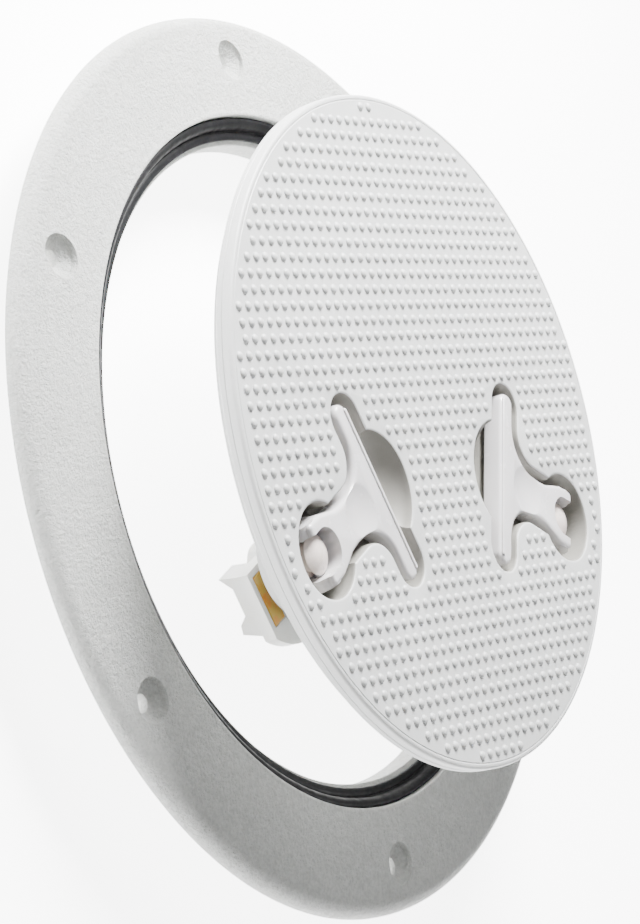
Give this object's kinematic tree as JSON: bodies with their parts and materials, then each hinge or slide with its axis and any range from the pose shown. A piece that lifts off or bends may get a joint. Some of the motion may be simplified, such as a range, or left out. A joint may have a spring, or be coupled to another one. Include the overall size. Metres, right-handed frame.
{
  "type": "deck hatch",
  "caption": "Round white screw-down deck hatch with a lift-out lid, two folding T-handle latches and a rubber seal.",
  "frame": {"origin": "on the hatch's axis at the lower edge of the frame collar", "axes": "+Z out of the deck through the lid; the latches lie at 204 and 336 degrees from +X, so the YZ plane is the plane of symmetry"},
  "size_m": [0.278, 0.278, 0.0673],
  "materials": {
    "white_abs": "fine leather grain on the frame, low bumps on the lid",
    "handle_abs": "smooth gloss",
    "spindle_nylon": "satin",
    "pawl_nylon": "satin",
    "amber_pad": "satin",
    "black_rubber": "satin black",
    "stainless": "satin",
    "washer_nylon": "matte"
  },
  "bodies": {
    "frame": {"frame_ring": "white_abs", "frame_gasket": "black_rubber"},
    "lid": {"lid_panel": "white_abs"},
    "latch_left": {"spindle_left": "spindle_nylon", "spindle_seal_left": "black_rubber", "thrust_washer_left": "washer_nylon", "pawl_left": "pawl_nylon", "pawl_pad_left": "amber_pad", "pawl_washer_left": "stainless", "pawl_screw_left": "stainless"},
    "handle_left": {"handle_left": "handle_abs", "pivot_pin_left_a": "stainless", "pivot_pin_left_b": "stainless"},
    "latch_right": {"spindle_right": "spindle_nylon", "spindle_seal_right": "black_rubber", "thrust_washer_right": "washer_nylon", "pawl_right": "pawl_nylon", "pawl_pad_right": "amber_pad", "pawl_washer_right": "stainless", "pawl_screw_right": "stainless"},
    "handle_right": {"handle_right": "handle_abs", "pivot_pin_right_a": "stainless", "pivot_pin_right_b": "stainless"}
  },
  "joints": [
    {"name": "lid_lift", "type": "slide", "parent": "frame", "child": "lid", "axis": [0, 0, 1], "range_m": [-0.0395, 0.02]},
    {"name": "latch_left_turn", "type": "hinge", "parent": "lid", "child": "latch_left", "pos_m": [-0.07217, -0.03213, 0.052], "axis": [0, 0, 1], "range_deg": [-60, 30]},
    {"name": "handle_left_flip", "type": "hinge", "parent": "lid", "child": "handle_left", "pos_m": [-0.07217, -0.03213, 0.0615], "axis": [0.4067, -0.9135, 0], "range_deg": [0, 90]},
    {"name": "latch_right_turn", "type": "hinge", "parent": "lid", "child": "latch_right", "pos_m": [0.07217, -0.03213, 0.052], "axis": [0, 0, 1], "range_deg": [-60, 30]},
    {"name": "handle_right_flip", "type": "hinge", "parent": "lid", "child": "handle_right", "pos_m": [0.07217, -0.03213, 0.0615], "axis": [0.4067, 0.9135, 0], "range_deg": [0, 90]}
  ]
}
